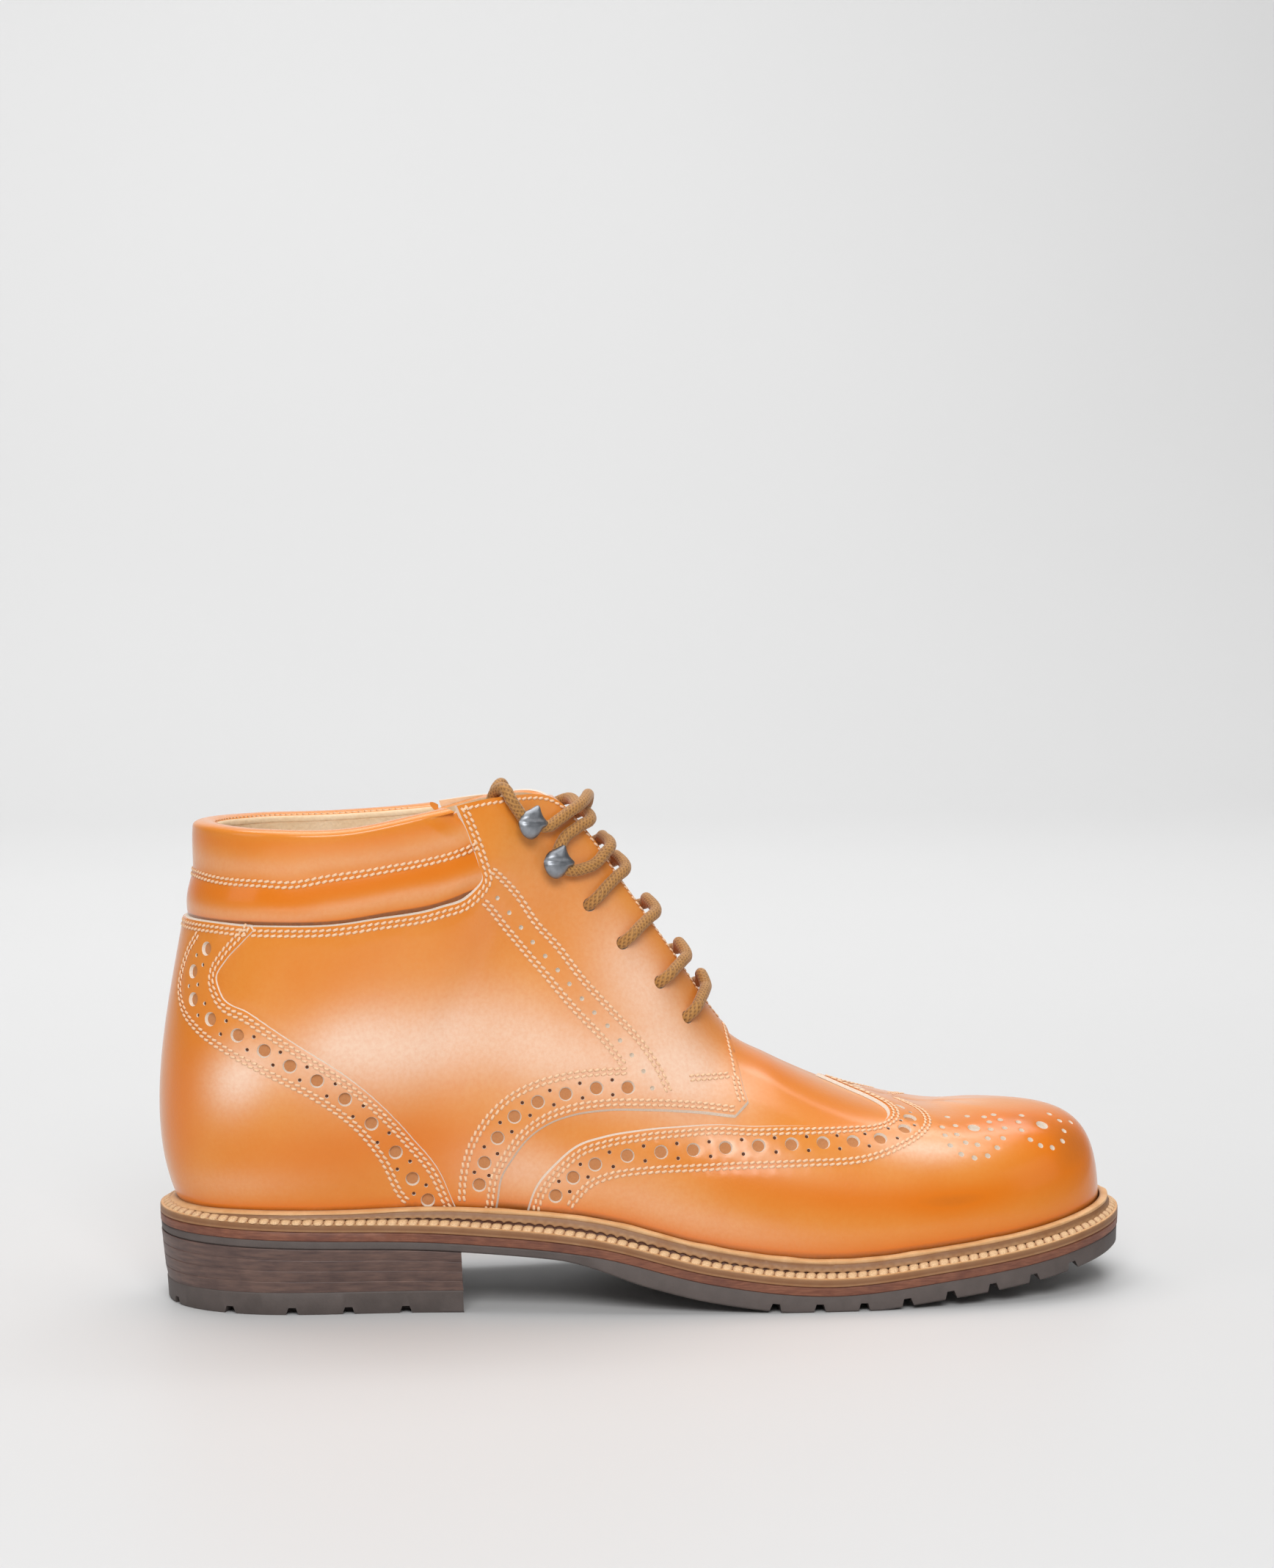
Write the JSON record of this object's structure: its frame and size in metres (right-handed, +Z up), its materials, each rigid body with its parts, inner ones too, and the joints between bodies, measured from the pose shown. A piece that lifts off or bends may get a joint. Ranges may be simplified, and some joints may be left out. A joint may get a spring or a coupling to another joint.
{
  "type": "brogue boot",
  "caption": "Ankle-high right brogue derby boot with a winged toe cap, heel counter, padded collar, speed-hook lacing, raised-lip welt, stacked heel and lugged rubber sole.",
  "frame": {"origin": "on the floor under the centre of the sole's length and breadth", "axes": "+X to the toe, +Y to the inner (medial) side, +Z up"},
  "size_m": [0.3074, 0.104, 0.1622],
  "materials": {
    "upper_leather": "burnished gloss",
    "welt_leather": "waxed",
    "midsole_leather": "waxed edge",
    "heel_leather": "waxed edge",
    "rubber": "matte",
    "insole_leather": "matte",
    "gunmetal": "satin",
    "lace": "braided"
  },
  "bodies": {
    "root": {"outsole": "rubber", "heel_top_piece": "rubber", "heel_stack": "heel_leather", "midsole": "midsole_leather", "welt": "welt_leather", "insole": "insole_leather", "upper": "upper_leather", "tongue": "upper_leather", "wing_cap": "upper_leather", "quarter_lateral": "upper_leather", "quarter_medial": "upper_leather", "heel_counter": "upper_leather", "collar_cuff": "upper_leather", "lace_hook_1_lateral": "gunmetal", "lace_hook_1_medial": "gunmetal", "lace_hook_2_lateral": "gunmetal", "lace_hook_2_medial": "gunmetal", "lace_row_1": "lace", "lace_row_2": "lace", "lace_row_3": "lace", "lace_row_4": "lace", "lace_row_5": "lace", "lace_row_6": "lace", "lace_row_7": "lace", "lace_end_lateral": "lace", "lace_end_medial": "lace"}
  },
  "joints": []
}
